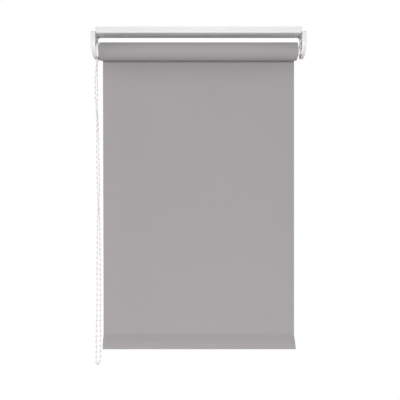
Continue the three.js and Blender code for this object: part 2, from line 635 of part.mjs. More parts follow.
function stopBall() {
  const ball = new THREE.SphereGeometry(STOP_BALL / 2, SMALL_SIDES, STOP_BALL_OVER);
  ball.rotateX(Math.PI / 2);
  ball.translate(stopCentre.x, stopCentre.y, stopCentre.z);
  return solid(ball);
}

function connector() {
  const [high, low] = [joinCut.above, joinCut.below];
  const way = new THREE.Vector3().subVectors(low, high);
  const length = way.length() - 2 * GAP;
  const { radius, chamfer, chamferLength } = CONNECTOR;
  const [end, shoulder] = [length / 2, length / 2 - chamferLength];
  const profile = [[0, -end], [radius - chamfer, -end], [radius, -shoulder], [radius, shoulder],
    [radius - chamfer, end], [0, end]];
  const geometry = new THREE.LatheGeometry(profile.map(([r, y]) => new THREE.Vector2(r, y)), SMALL_SIDES);
  const lengthwise = new THREE.Vector3(0, 1, 0);
  geometry.applyQuaternion(new THREE.Quaternion().setFromUnitVectors(lengthwise, way.normalize()));
  geometry.translate((high.x + low.x) / 2, (high.y + low.y) / 2, (high.z + low.z) / 2);
  return solid(geometry);
}

const bend = BOTTOM_BEND.map(runPoint);
const backRun = BACK_RUN.map(runPoint);
add('stop_ball', stopBall(), PLASTIC, 0.35);
add('chain_front_top', chainTube(joinCut.upper), PLASTIC, 0.35);
add('chain_connector', connector(), PLASTIC, 0.35);
add('chain_loop', chainTube([...joinCut.lower, ...bend, ...backRun]), PLASTIC, 0.35);

export default group;
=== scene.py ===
"""A chain-operated roller blind on a ceiling rail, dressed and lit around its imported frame.

Lengths are in metres. X runs along the rail, +Y points to the window and +Z is up. The origin is the
centre of the rail's top face.
"""
import json
import logging
import math
import random
from bisect import bisect_right
from dataclasses import dataclass, field
from enum import Enum
from functools import cache
from typing import Callable, Iterable, Sequence

import bmesh
import bpy
from mathutils import Matrix, Vector


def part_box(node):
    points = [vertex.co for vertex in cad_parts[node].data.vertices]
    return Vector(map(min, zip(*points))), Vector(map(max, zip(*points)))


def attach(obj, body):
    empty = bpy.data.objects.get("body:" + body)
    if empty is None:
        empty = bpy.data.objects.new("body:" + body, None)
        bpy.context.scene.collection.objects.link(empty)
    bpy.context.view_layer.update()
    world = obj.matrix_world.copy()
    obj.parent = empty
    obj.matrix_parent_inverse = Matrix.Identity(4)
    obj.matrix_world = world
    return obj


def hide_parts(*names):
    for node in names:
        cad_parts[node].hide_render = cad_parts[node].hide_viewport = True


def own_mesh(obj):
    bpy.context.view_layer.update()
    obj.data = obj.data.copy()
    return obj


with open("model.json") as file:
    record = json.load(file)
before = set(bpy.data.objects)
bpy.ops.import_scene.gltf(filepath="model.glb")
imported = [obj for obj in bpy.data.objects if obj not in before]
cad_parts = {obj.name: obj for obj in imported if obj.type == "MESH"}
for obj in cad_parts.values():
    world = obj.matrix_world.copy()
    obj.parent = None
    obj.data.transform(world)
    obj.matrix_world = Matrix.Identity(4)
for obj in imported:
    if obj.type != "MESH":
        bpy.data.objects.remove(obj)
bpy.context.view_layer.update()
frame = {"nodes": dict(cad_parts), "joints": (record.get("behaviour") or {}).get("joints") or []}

LOG = logging.getLogger("roller_blind")
MM = 0.001
FULL_TURN = 2 * math.pi
QUARTER_TURN = math.pi / 2
TOUCH = 0.01 * MM  # points closer than this are one point

Number = float | int
Colour = tuple[float, float, float]
Pair = tuple[float, float]
Place = tuple[float, float, float]
Profile = Sequence[Pair]
Shape = bmesh.types.BMesh
Edge = bmesh.types.BMEdge
Object = bpy.types.Object

# The chain from under its guard down the front run, round the bottom bend and up the back run, in
# millimetres. X counts from the middle of the chain wheel, Y and Z from the roller's axis.
WHEEL_TO_FRONT = [(0, -13.48, -3.08), (0, -11.33, -7.93), (-0.9, -8.9, -14.2)]
FRONT_RUN = [
    (-2, -9.4, -23.6), (-3.1, -9.6, -35), (-5, -8.8, -52), (-6.3, -7.2, -72), (-6.7, -5.4, -92),
    (-6, -3.4, -116), (-3.9, -2.6, -142), (-1.2, -3.2, -170), (0.4, -4, -205), (0.6, -4.4, -240),
    (2.3, -5.6, -280), (3.1, -7.6, -320), (2.2, -9.6, -350), (0.4, -11, -378), (-0.2, -12.6, -410),
    (-0.1, -14.8, -450), (0.2, -16.8, -500), (0.2, -18, -570), (-0.7, -18.8, -640), (-1.1, -19, -700),
]
BOTTOM_BEND = [
    (-1, -17.8, -721.2), (-0.3, -13.7, -726.2), (0.7, -6.6, -728.4), (1.8, 0.5, -726.2),
    (2.4, 4.6, -721.2),
]
BACK_RUN = [
    (2.6, 5.8, -700), (2.4, 5.6, -640), (2.6, 5, -570), (2.5, 4, -500), (2, 2, -450),
    (2.2, -0.4, -410), (1.4, -2.2, -378), (-0.6, -3.6, -350), (-2.2, -5, -320), (-2.7, -6.6, -280),
    (-2.6, -8.2, -240), (-2.6, -8.2, -205), (-2.2, -8.6, -170), (-2.4, -8.8, -142), (-1.4, -8.2, -116),
    (-1.5, -6.4, -92), (-2.3, -4.4, -72), (-3, -3.6, -52), (-3.1, -3.2, -35), (-1.7, -2.8, -20.6),
]
BACK_TO_WHEEL = [(-0.6, 0.2, -16.4), (0, 5.6, -13.1), (0, 11.33, -7.93), (0, 13.48, -3.08)]


class Body(Enum):
    """The parts of the frame that move as one."""

    FRAME = "frame"
    ROLLER = "roller"
    WHEEL = "drive_wheel"
    HEM = "hem"
    PIN = "pin"


class Slot(Enum):
    """The finishes that the blind's record names."""

    WHITE_PAINT = "white_paint"
    WHITE_PLASTIC = "white_plastic"
    WHEEL_PLASTIC = "wheel_plastic"
    BEAD_PLASTIC = "bead_plastic"
    CLOTH = "cloth"
    STEEL = "steel"
    DARK_PLASTIC = "dark_plastic"
    ALUMINIUM = "aluminium"


class Lay(Enum):
    """How cloth lies, which sets the way its threads run."""

    HANGING = "hanging"
    WOUND = "wound"


# ---- Shader maths ----
def operator(operation: str, swapped: bool = False) -> Callable[..., "Signal"]:
    """Makes a method of Signal that adds a Math node.

    Args:
        operation: The node's operation.
        swapped: Whether the other value goes in first.

    Returns:
        The method, which gives the node's result.
    """
    def method(self: "Signal", *others: "Signal | Number") -> "Signal":
        """Adds the node and gives its result."""
        values = (*others, self) if swapped else (self, *others)
        node = self.bench.node("ShaderNodeMath", {"operation": operation}, dict(enumerate(values)))
        return self.bench.out(node)
    return method


class Signal:
    """A number on a shader socket. Python's operators on it add Math nodes."""

    def __init__(self, bench: "Bench", socket: bpy.types.NodeSocket) -> None:
        """Holds the socket and the bench that it belongs to."""
        self.bench = bench
        self.socket = socket

    __add__ = operator("ADD")
    __radd__ = operator("ADD", swapped=True)
    __sub__ = operator("SUBTRACT")
    __rsub__ = operator("SUBTRACT", swapped=True)
    __mul__ = operator("MULTIPLY")
    __rmul__ = operator("MULTIPLY", swapped=True)
    __truediv__ = operator("DIVIDE")
    __gt__ = operator("GREATER_THAN")
    sine = operator("SINE")
    size = operator("ABSOLUTE")
    angle_over = operator("ARCTAN2")  # the angle of the point (other, self)


class Bench:
    """The node tree of one finish, with one way to add a node to it."""

    def __init__(self, name: str) -> None:
        """Makes an empty material of that name."""
        self.material = bpy.data.materials.new(name)
        self.material.use_nodes = True
        self.tree = self.material.node_tree
        self.tree.nodes.clear()

    def node(self, kind: str, settings: dict | None = None, sockets: dict | None = None) -> bpy.types.Node:
        """Adds a node.

        Args:
            kind: The node's type.
            settings: Its own settings, set first.
            sockets: What goes in each input, by name, identifier or number: a value or a Signal.

        Returns:
            The new node.
        """
        made = self.tree.nodes.new(kind)
        for key, value in (settings or {}).items():
            setattr(made, key, value)
        for key, value in (sockets or {}).items():
            socket = self.find(made.inputs, key)
            if isinstance(value, Signal):
                self.tree.links.new(value.socket, socket)
            else:
                socket.default_value = value
        return made

    @staticmethod
    def find(sockets: Iterable[bpy.types.NodeSocket], key: str | int) -> bpy.types.NodeSocket:
        """Finds a socket.

        Args:
            sockets: The sockets to look through.
            key: A number, an identifier or a name.

        Returns:
            The socket.
        """
        if isinstance(key, int):
            return sockets[key]
        return next((s for s in sockets if s.identifier == key), None) or sockets[key]

    def out(self, node: bpy.types.Node, key: str | int = 0) -> Signal:
        """An output of a node as a Signal."""
        return Signal(self, self.find(node.outputs, key))

    def place(self) -> tuple[Signal, Signal, Signal]:
        """The X, Y and Z of the point on the piece."""
        spot = self.out(self.node("ShaderNodeTexCoord"), "Object")
        parts = self.node("ShaderNodeSeparateXYZ", {}, {0: spot})
        return self.out(parts, 0), self.out(parts, 1), self.out(parts, 2)

    def point(self, x: Signal | Number, y: Signal | Number, z: Signal | Number) -> Signal:
        """A point made of three numbers."""
        return self.out(self.node("ShaderNodeCombineXYZ", {}, {0: x, 1: y, 2: z}))

    def noise(self, spot: Signal, scale: float, detail: float = 2.0) -> Signal:
        """Soft random patches.

        Args:
            spot: The point to read.
            scale: How many patches there are to a metre.
            detail: How many finer layers are added.

        Returns:
            A value about 0.5, from 0 to 1.
        """
        sockets = {"Vector": spot, "Scale": scale, "Detail": detail}
        return self.out(self.node("ShaderNodeTexNoise", {}, sockets))

    def tone(self, colour: Colour, change: Signal, spread: float) -> Signal:
        """A colour that grows lighter and darker.

        Args:
            colour: The middle colour.
            change: 0 where it is darkest and 1 where it is lightest.
            spread: The share by which it changes either way.

        Returns:
            The colour.
        """
        dark = (*(c * (1 - spread) for c in colour), 1.0)
        light = (*(min(c * (1 + spread), 1.0) for c in colour), 1.0)
        sockets = {"Factor_Float": change, "A_Color": dark, "B_Color": light}
        return self.out(self.node("ShaderNodeMix", {"data_type": "RGBA"}, sockets), "Result_Color")

    def bump(self, height: Signal, depth: float) -> Signal:
        """The normal of a surface that rises with a height from 0 to 1 by that depth."""
        sockets = {"Strength": 1.0, "Distance": depth, "Height": height}
        return self.out(self.node("ShaderNodeBump", {}, sockets))


# ---- Finishes ----
@dataclass(frozen=True)
class Finish:
    """What a surface is made of. Its sockets that are the same all over are in fixed."""

    name: str
    slot: Slot
    colour: Colour
    roughness: float
    fixed: tuple[tuple[str, float], ...] = ()

    @cache
    def material(self) -> bpy.types.Material:
        """Makes the material, once for each finish."""
        bench = Bench(self.name)
        shader = bench.node("ShaderNodeBsdfPrincipled", {}, {**dict(self.fixed), **self.looks(bench)})
        bench.node("ShaderNodeOutputMaterial", {}, {"Surface": bench.out(shader)})
        return bench.material

    def looks(self, bench: Bench) -> dict[str, Signal]:
        """What changes over the surface, by shader socket."""
        raise NotImplementedError


@dataclass(frozen=True)
class PowderCoat(Finish):
    """Baked paint with a fine orange-peel skin and faint marks of handling."""

    peel: float = 0.02 * MM

    def looks(self, bench: Bench) -> dict[str, Signal]:
        """The skin's ripple, its slow changes of gloss and its tone."""
        spot = bench.point(*bench.place())
        marks = bench.noise(spot, 24, 4)
        skin = bench.noise(spot, 650, 1) * 0.7 + bench.noise(spot, 2600, 1) * 0.3
        return {
            "Base Color": bench.tone(self.colour, marks, 0.012),
            "Roughness": self.roughness + (marks - 0.5) * 0.16 + (skin - 0.5) * 0.08,
            "Normal": bench.bump(skin, self.peel),
        }


@dataclass(frozen=True)
class MouldedPlastic(Finish):
    """Plastic from a mould: a fine spark-eroded grain, slight sink marks and flow lines."""

    grain: float = 0.006 * MM
    sink: float = 0.05 * MM

    def looks(self, bench: Bench) -> dict[str, Signal]:
        """The grain, the sink marks and the flow of the plastic."""
        x, y, z = bench.place()
        spot = bench.point(x, y, z)
        flow = bench.noise(bench.point(x * 3, y, z * 0.5), 90, 3)
        sinks = bench.noise(spot, 75, 0)
        grain = bench.noise(spot, 4200, 1)
        share = self.grain / (self.grain + self.sink)
        return {
            "Base Color": bench.tone(self.colour, flow, 0.015),
            "Roughness": self.roughness + (flow - 0.5) * 0.12 + (grain - 0.5) * 0.1,
            "Normal": bench.bump(grain * share + sinks * (1 - share), self.grain + self.sink),
        }


@dataclass(frozen=True)
class DrawnMetal(Finish):
    """Metal drawn or turned along X, with fine lines that way and a thin uneven oxide."""

    line_depth: float = 0.004 * MM

    def looks(self, bench: Bench) -> dict[str, Signal]:
        """The draw lines and the oxide."""
        x, y, z = bench.place()
        lines = bench.noise(bench.point(x * 0.02, y, z), 5200, 2)
        oxide = bench.noise(bench.point(x, y, z), 160, 4)
        return {
            "Base Color": bench.tone(self.colour, oxide * 0.6 + lines * 0.4, 0.07),
            "Metallic": 0.96 + oxide * 0.04,
            "Roughness": self.roughness + (lines - 0.5) * 0.22 + (oxide - 0.5) * 0.14,
            "Normal": bench.bump(lines, self.line_depth),
        }


@dataclass(frozen=True)
class WovenCloth(Finish):
    """A plain weave with a coated back: threads over and under, and slubs along some of them."""

    lay: Lay = Lay.HANGING
    thread: float = 0.42 * MM
    depth: float = 0.05 * MM
    axis_height: float = 0.0
    radius: float = 1.0

    def looks(self, bench: Bench) -> dict[str, Signal]:
        """The weave, its slubs and the slow changes of the dye."""
        across, y, z = bench.place()
        if self.lay is Lay.WOUND:
            down = (z - self.axis_height).angle_over(y) * self.radius
        else:
            down = z
        warp = (across * (math.pi / self.thread)).sine()
        weft = (down * (math.pi / self.thread)).sine()
        warp_on_top = (warp * weft) > 0
        weave = warp.size() * warp_on_top + weft.size() * (1 - warp_on_top)
        warp_slubs = bench.noise(bench.point(across, down * 0.012, 0), 760, 2)
        weft_slubs = bench.noise(bench.point(across * 0.012, down, 3.1), 760, 2)
        slubs = warp_slubs * 0.5 + weft_slubs * 0.5
        dye = bench.noise(bench.point(across, down, 7.7), 9, 3)
        return {
            "Base Color": bench.tone(self.colour, slubs * 0.55 + weave * 0.2 + dye * 0.25, 0.07),
            "Roughness": self.roughness + (slubs - 0.5) * 0.12,
            "Normal": bench.bump(weave * 0.75 + slubs * 0.25, self.depth),
        }


PAINT = PowderCoat("white_powder_coat", Slot.WHITE_PAINT, (0.9, 0.9, 0.895), 0.42)
COVER_PLASTIC = MouldedPlastic("white_cover_plastic", Slot.WHITE_PLASTIC, (0.88, 0.88, 0.875), 0.36)
WHEEL_PLASTIC = MouldedPlastic("white_wheel_plastic", Slot.WHEEL_PLASTIC, (0.78, 0.78, 0.76), 0.4)
BEAD_PLASTIC = MouldedPlastic("white_bead_plastic", Slot.BEAD_PLASTIC, (0.86, 0.86, 0.85), 0.3,
                              fixed=(("Coat Weight", 0.2), ("Coat Roughness", 0.25)), sink=0.02 * MM)
CORE_PLASTIC = MouldedPlastic("dark_core_plastic", Slot.DARK_PLASTIC, (0.035, 0.036, 0.038), 0.5)
STEEL = DrawnMetal("plated_steel", Slot.STEEL, (0.56, 0.57, 0.58), 0.32)
ALUMINIUM = DrawnMetal("mill_aluminium", Slot.ALUMINIUM, (0.68, 0.69, 0.7), 0.38)
CLOTH_COLOUR = (0.398, 0.378, 0.384)
SHEEN = (("Sheen Weight", 0.08), ("Sheen Roughness", 0.6), ("Specular IOR Level", 0.2))
HANGING_CLOTH = WovenCloth("grey_cloth_hanging", Slot.CLOTH, CLOTH_COLOUR, 0.9, SHEEN)


# ---- Places and lines ----
def travel(joint: str) -> float:
    """How far a sliding joint of the frame goes."""
    return max(next(j for j in frame["joints"] if j["name"] == joint)["range_m"])


@dataclass(frozen=True)
class Room:
    """The box that one node of the frame takes up."""

    low: Vector
    high: Vector

    @classmethod
    def of(cls, node: str) -> "Room":
        """The box of the node of that name."""
        low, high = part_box(node)
        return cls(low, high)

    @property
    def middle(self) -> Vector:
        """The box's centre."""
        return (self.low + self.high) / 2

    @property
    def size(self) -> Vector:
        """The box's three sides."""
        return self.high - self.low


class Route:
    """A smooth line through chosen points, measured along its length."""

    FINE = 24  # short lines between two chosen points

    def __init__(self, points: Sequence[Vector]) -> None:
        """Draws the line.

        Args:
            points: The points that it passes through.
        """
        ends = [2 * points[0] - points[1], *points, 2 * points[-1] - points[-2]]
        self.line = [points[0]]
        for i in range(len(points) - 1):
            self.line += [self.between(ends[i:i + 4], step / self.FINE) for step in range(1, self.FINE + 1)]
        self.reach = [0.0]
        for near, far in zip(self.line, self.line[1:]):
            self.reach.append(self.reach[-1] + (far - near).length)

    @staticmethod
    def between(four: Sequence[Vector], share: float) -> Vector:
        """A point of a centripetal Catmull-Rom curve.

        Args:
            four: The points before, at both ends of, and after the stretch.
            share: How far along the stretch, from 0 to 1.

        Returns:
            The point.
        """
        knots = [0.0]
        for near, far in zip(four, four[1:]):
            knots.append(knots[-1] + max((far - near).length, TOUCH) ** 0.5)
        t = knots[1] + (knots[2] - knots[1]) * share
        layer = list(four)
        for width in (1, 2):
            layer = [layer[i].lerp(layer[i + 1], (t - knots[i]) / (knots[i + width] - knots[i]))
                     for i in range(4 - width)]
        return layer[0].lerp(layer[1], share)

    @property
    def length(self) -> float:
        """The line's whole length."""
        return self.reach[-1]

    def at(self, distance: float) -> tuple[Vector, Vector]:
        """A place on the line.

        Args:
            distance: How far along it.

        Returns:
            The point there, and the way that the line runs.
        """
        i = min(max(bisect_right(self.reach, distance) - 1, 0), len(self.line) - 2)
        near, far = self.line[i], self.line[i + 1]
        share = (distance - self.reach[i]) / (self.reach[i + 1] - self.reach[i])
        return near.lerp(far, share), (far - near).normalized()

    def marks(self, step: float) -> list[Vector]:
        """Points along the line.

        Args:
            step: About how far apart they are.

        Returns:
            Evenly spaced points, with both ends.
        """
        count = max(2, round(self.length / step))
        return [self.at(self.length * i / count)[0] for i in range(count + 1)]


# ---- Shapes ----
def shown(name: str, data: bpy.types.ID) -> Object:
    """A new object of that data, in the scene."""
    made = bpy.data.objects.new(name, data)
    bpy.context.scene.collection.objects.link(made)
    return made


def even_steps(first: float, last: float, count: int) -> list[float]:
    """Evenly spaced numbers from the first to the last."""
    return [first + (last - first) * i / (count - 1) for i in range(count)]


def mirrored(half: Profile) -> list[Pair]:
    """A profile of (radius, x) with its mirror image after it. A point on x = 0 stays single."""
    return [*half, *((radius, -x) for radius, x in reversed(half) if x)]


def merged(shape: Shape) -> Shape:
    """Merges doubled points and turns every face of a closed shape outwards."""
    bmesh.ops.remove_doubles(shape, verts=shape.verts, dist=TOUCH)
    bmesh.ops.recalc_face_normals(shape, faces=shape.faces)
    return shape


def moved(shape: Shape, way: Sequence[float], verts: Sequence[bmesh.types.BMVert] | None = None) -> Shape:
    """Moves a shape, or only some of its points, and gives it back."""
    bmesh.ops.translate(shape, verts=shape.verts if verts is None else verts, vec=way)
    return shape


def drawn_out(shape: Shape, way: Sequence[float]) -> Shape:
    """Draws a flat shape out into a closed one."""
    grown = bmesh.ops.extrude_face_region(shape, geom=shape.faces[:])["geom"]
    return merged(moved(shape, way, [g for g in grown if isinstance(g, bmesh.types.BMVert)]))


def round_corner(shape: Shape, corner: bmesh.types.BMVert, radius: float, steps: int) -> None:
    """Rounds one corner of a flat shape."""
    bmesh.ops.bevel(shape, geom=[corner], offset=radius, offset_type="OFFSET", segments=steps, profile=0.5,
                    affect="VERTICES", material=-1, clamp_overlap=False)


def turned(profile: Profile, steps: int, centre: Vector) -> Shape:
    """Turns a profile about a line along X.

    Args:
        profile: Points of (radius, x), from the line to the line, or round to the first again.
        steps: How many faces go round.
        centre: A point that the line goes through; x counts from it.

    Returns:
        The turned shape.
    """
    shape = bmesh.new()
    points = [shape.verts.new((x, radius, 0)) for radius, x in profile]
    lines = [shape.edges.new(pair) for pair in zip(points, points[1:])]
    bmesh.ops.spin(shape, geom=points + lines, cent=(0, 0, 0), axis=(1, 0, 0), dvec=(0, 0, 0),
                   angle=FULL_TURN, steps=steps, use_merge=True)
    return merged(moved(shape, centre))


def rod(radius: float, ends: Sequence[float], steps: int, centre: Vector) -> Shape:
    """A round rod along X, from the first end to the last, counted from its centre."""
    return turned([(0, ends[0]), (radius, ends[0]), (radius, ends[1]), (0, ends[1])], steps, centre)


def slab(outline: Profile, radius: float, from_x: float, to_x: float, steps: int) -> Shape:
    """Runs an outline in (y, z) along X.

    Args:
        outline: Its corners in order.
        radius: The radius at each corner.
        from_x: Where it starts.
        to_x: Where it ends.
        steps: How many short lines go round each corner.

    Returns:
        The closed slab.
    """
    shape = bmesh.new()
    corners = [shape.verts.new((from_x, y, z)) for y, z in outline]
    bmesh.ops.contextual_create(shape, geom=corners)
    for corner in corners:
        round_corner(shape, corner, radius, steps)
    return drawn_out(shape, (to_x - from_x, 0, 0))


def rounded(shape: Shape, width: float, chosen: Callable[[Edge], bool], steps: int = 3) -> Shape:
    """Rounds the edges of a shape, all as wide as the narrowest face beside them leaves room for.

    Args:
        shape: The shape, which is changed.
        width: How wide the rounding is at most.
        chosen: Says which edges are rounded.
        steps: How many faces go across the rounding.

    Returns:
        The same shape.
    """
    edges = [e for e in shape.edges if len(e.link_faces) == 2 and chosen(e)]
    bmesh.ops.bevel(shape, geom=edges, offset=width, offset_type="OFFSET", segments=steps, profile=0.5,
                    affect="EDGES", material=-1, clamp_overlap=True)
    return shape


def crisp(angle: float = 30.0) -> Callable[[Edge], bool]:
    """Picks the edges where the surface turns by more than an angle in degrees."""
    limit = math.radians(angle)
    return lambda edge: edge.calc_face_angle(0.0) > limit


def softened(node: str, width: float, steps: int = 2) -> Shape:
    """A merged copy of a node of the frame, its crisp edges rounded where small faces leave room.

    Args:
        node: The node's name.
        width: How wide the rounding is at most.
        steps: How many faces go across the rounding.

    Returns:
        The copy.
    """
    shape = bmesh.new()
    shape.from_mesh(frame["nodes"][node].data)
    bmesh.ops.remove_doubles(shape, verts=shape.verts, dist=TOUCH)
    bmesh.ops.dissolve_limit(shape, angle_limit=math.radians(0.5), use_dissolve_boundaries=False,
                             verts=shape.verts, edges=shape.edges, delimit={"NORMAL"})
    return rounded(shape, width, crisp(), steps)


def carved(shape: Shape, cutter: Shape) -> Shape:
    """Cuts one closed shape out of another.

    Args:
        shape: The shape that is cut, which is used up.
        cutter: The shape that is taken away, which is used up.

    Returns:
        What is left.
    """
    stand_ins = []
    for part in (shape, cutter):
        mesh = bpy.data.meshes.new("stand_in")
        part.to_mesh(mesh)
        part.free()
        stand_ins.append(shown("stand_in", mesh))
    body, tool = stand_ins
    cut = body.modifiers.new("cut", "BOOLEAN")
    cut.operation = "DIFFERENCE"
    cut.solver = "EXACT"
    cut.object = tool
    mesh = bpy.data.meshes.new_from_object(body.evaluated_get(bpy.context.evaluated_depsgraph_get()))
    left = bmesh.new()
    left.from_mesh(mesh)
    for item in (body.data, tool.data, mesh):
        bpy.data.meshes.remove(item)
    bmesh.ops.remove_doubles(left, verts=left.verts, dist=TOUCH)
    return left


def gathered(target: Shape, extra: Shape, where: Matrix | None = None) -> Shape:
    """Adds a copy of one shape to another.

    Args:
        target: The shape that grows.
        extra: The shape that is copied.
        where: The copy's place, or None to leave it where it is.

    Returns:
        The grown shape.
    """
    carrier = bpy.data.meshes.new("carrier")
    extra.to_mesh(carrier)
    if where is not None:
        carrier.transform(where)
    target.from_mesh(carrier)
    bpy.data.meshes.remove(carrier)
    return target


def aimed(point: Vector, way: Vector) -> Matrix:
    """The place of a shape whose X axis is turned to run the given way at a point."""
    return Matrix.Translation(point) @ way.to_track_quat("X", "Z").to_matrix().to_4x4()


@dataclass
class SubAssembly:
    """Pieces that are made and dressed together."""

    made: list[Object] = field(default_factory=list, init=False)

    def add(self, shape: Shape, name: str, finish: Finish, body: Body,
            stands_for: Sequence[str] = (), crease: float = 35.0) -> Object:
        """Makes a piece of a shape and lets it ride on a body.

        Args:
            shape: The finished shape, which is used up.
            name: The piece's name.
            finish: What it is made of.
            body: What it moves with.
            stands_for: The nodes of the frame that it is shown instead of.
            crease: The angle in degrees past which an edge is seen as an edge.

        Returns:
            The piece.
        """
        mesh = bpy.data.meshes.new(name)
        shape.to_mesh(mesh)
        shape.free()
        mesh.materials.append(finish.material())
        mesh.shade_smooth()
        mesh.set_sharp_from_angle(angle=math.radians(crease))
        piece = shown(name, mesh)
        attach(piece, body.value)
        if stands_for:
            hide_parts(*stands_for)
        self.made.append(piece)
        return piece

    def soften(self, node: str, finish: Finish, body: Body, width: float, steps: int = 2) -> None:
        """Shows a node of the frame as a softened copy.

        Args:
            node: The node's name.
            finish: What it is made of.
            body: What it moves with.
            width: How wide the rounding is at most.
            steps: How many faces go across the rounding.
        """
        self.add(softened(node, width, steps), f"{node}_shown", finish, body, [node])

    def build(self) -> None:
        """Makes every piece of the sub-assembly."""
        raise NotImplementedError


# ---- Studio ----
@dataclass(frozen=True)
class Softbox:
    """A square soft light that the camera doesn't see."""

    name: str
    place: Place
    aim: Place
    size: float
    watts: float

    def hang(self) -> None:
        """Hangs the light, turned to its aim."""
        data = bpy.data.lights.new(self.name, "AREA")
        data.size = self.size
        data.energy = self.watts
        light = shown(self.name, data)
        light.visible_camera = False
        light.location = self.place
        light.rotation_euler = (Vector(self.aim) - Vector(self.place)).to_track_quat("-Z", "Y").to_euler()


SOFTBOXES = (
    Softbox("front_softbox", (0, -2.6, -0.45), (0, 0, -0.4), 1.0, 40),
    Softbox("left_softbox", (-2.2, -0.4, 0.4), (0, 0, -0.3), 1.0, 14),
    Softbox("right_softbox", (2.2, -0.4, 0.4), (0, 0, -0.3), 1.0, 14),
    Softbox("back_softbox", (0, 1.7, 1.1), (0, 0, -0.4), 1.0, 16),
    Softbox("top_softbox", (0, -1.2, 1.2), (0, 0, -0.2), 1.2, 5),
    Softbox("low_softbox", (0, -0.8, -1.5), (0, -0.2, 0), 1.0, 4),
)


@dataclass
class Studio:
    """The camera, the soft lights, the white surround and the pale floor."""

    eye: Place = (0.00305, -1.0105, -0.3992)
    lens: float = 38.88
    sensor: float = 36.0
    floor_depth: float = -2.0
    floor_size: float = 5.2
    floor_back: float = 2.4
    floor_grey: float = 0.8
    surround: float = 0.09  # how brightly the surround lights the blind

    def build(self) -> None:
        """Sets up the camera, the surround, the lights and the floor."""
        self.camera()
        self.surroundings()
        for softbox in SOFTBOXES:
            softbox.hang()
        self.floor()
        bpy.context.scene.view_settings.view_transform = "Standard"

    def camera(self) -> None:
        """Stands the camera in front of the blind, level, below the middle of its height."""
        data = bpy.data.cameras.new("camera")
        data.sensor_width = self.sensor
        data.lens = self.lens
        camera = shown("camera", data)
        camera.location = self.eye
        camera.rotation_euler = (QUARTER_TURN, 0, 0)
        bpy.context.scene.camera = camera

    def surroundings(self) -> None:
        """Makes a white surround that is seen bright and lights the blind softly."""
        world = bpy.data.worlds.new("white_surround")
        world.use_nodes = True
        tree = world.node_tree
        tree.nodes.clear()
        seen = tree.nodes.new("ShaderNodeLightPath")
        seen_white = tree.nodes.new("ShaderNodeBackground")
        lights_softly = tree.nodes.new("ShaderNodeBackground")
        lights_softly.inputs["Strength"].default_value = self.surround
        for shader in (seen_white, lights_softly):
            shader.inputs["Color"].default_value = (1, 1, 1, 1)
        mix = tree.nodes.new("ShaderNodeMixShader")
        out = tree.nodes.new("ShaderNodeOutputWorld")
        tree.links.new(seen.outputs["Is Camera Ray"], mix.inputs[0])
        tree.links.new(lights_softly.outputs[0], mix.inputs[1])
        tree.links.new(seen_white.outputs[0], mix.inputs[2])
        tree.links.new(mix.outputs[0], out.inputs["Surface"])
        bpy.context.scene.world = world

    def floor(self) -> None:
        """Lays a plain pale floor well below the blind."""
        shape = bmesh.new()
        bmesh.ops.create_grid(shape, x_segments=1, y_segments=1, size=self.floor_size / 2)
        moved(shape, (0, self.floor_back - self.floor_size / 2, self.floor_depth))
        mesh = bpy.data.meshes.new("floor")
        shape.to_mesh(mesh)
        shape.free()
        bench = Bench("pale_floor")
        colour = (*[self.floor_grey] * 3, 1)
        shader = bench.node("ShaderNodeBsdfPrincipled", {}, {"Base Color": colour, "Roughness": 0.9})
        bench.node("ShaderNodeOutputMaterial", {}, {"Surface": bench.out(shader)})
        mesh.materials.append(bench.material)
        shown("floor", mesh)


